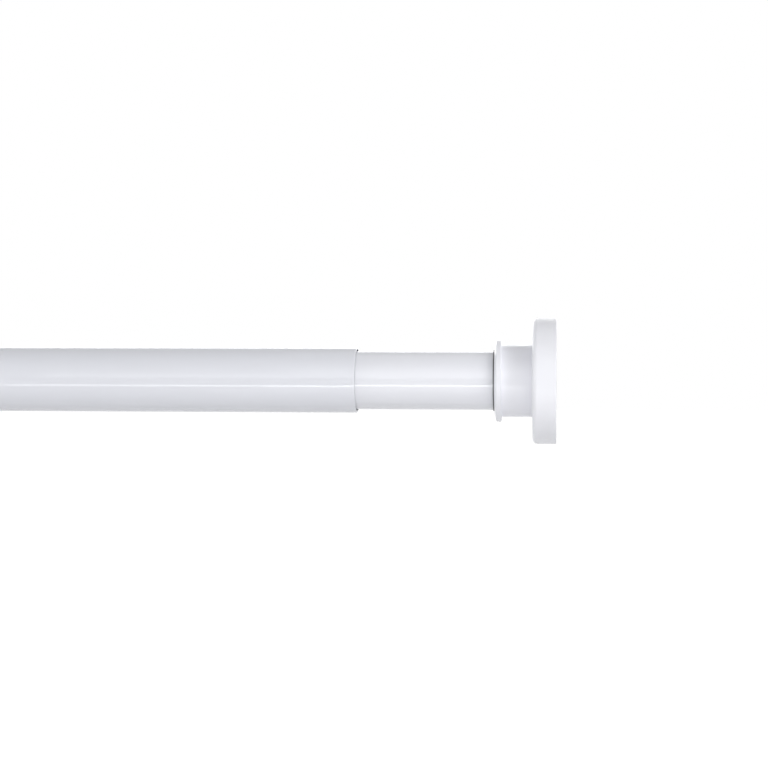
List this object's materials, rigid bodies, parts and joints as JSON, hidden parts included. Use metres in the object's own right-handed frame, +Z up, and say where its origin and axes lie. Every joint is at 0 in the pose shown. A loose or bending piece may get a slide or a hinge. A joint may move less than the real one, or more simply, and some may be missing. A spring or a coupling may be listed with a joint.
{
  "type": "extendable shower curtain rod",
  "caption": "White telescopic shower curtain rod: an inner tube slides in an outer tube, locks with a twist, and sits in round two-piece wall holders with a screw hole behind each.",
  "frame": {"origin": "middle of the left holder's round footprint, on the wall plane behind it", "axes": "+X along the rod from the left wall to the right one, +Z up, +Y away from the viewer of the front"},
  "size_m": [0.8052, 0.0536, 0.0534],
  "materials": {
    "outer_tube_white": "glossy white coating",
    "inner_tube_white": "glossy white coating",
    "holder_white": "satin white moulding",
    "moulded_white": "satin white moulding",
    "sleeve_plastic": "matt dark grey moulding",
    "guide_plastic": "matt dark grey moulding",
    "ring_plastic": "matt natural moulding",
    "core_plastic": "matt grey moulding",
    "plated_steel": "bright zinc plating"
  },
  "bodies": {
    "left_holder": {"left_wall_plate": "moulded_white", "left_cover": "holder_white"},
    "outer_rod": {"outer_tube": "outer_tube_white", "mouth_guide": "guide_plastic"},
    "wedge": {"lock_ring": "ring_plastic"},
    "inner_rod": {"inner_tube": "inner_tube_white", "lock_core": "core_plastic", "lock_washer": "plated_steel", "lock_screw": "plated_steel", "end_sleeve": "sleeve_plastic"},
    "right_holder": {"right_cover": "holder_white", "right_wall_plate": "moulded_white"}
  },
  "joints": [
    {"name": "outer_tube_turn", "type": "hinge", "parent": "left_holder", "child": "outer_rod", "pos_m": [0.018, 0, 0], "axis": [1, 0, 0], "continuous": true},
    {"name": "length_slide", "type": "slide", "parent": "outer_rod", "child": "wedge", "axis": [1, 0, 0], "range_m": [-0.055, 0.445]},
    {"name": "lock_twist", "type": "hinge", "parent": "wedge", "child": "inner_rod", "pos_m": [0.0906, 0, -0.0005], "axis": [1, 0, 0], "range_deg": [-24, 24]},
    {"name": "right_holder_turn", "type": "hinge", "parent": "inner_rod", "child": "right_holder", "pos_m": [0.787, 0, 0], "axis": [1, 0, 0], "continuous": true}
  ]
}
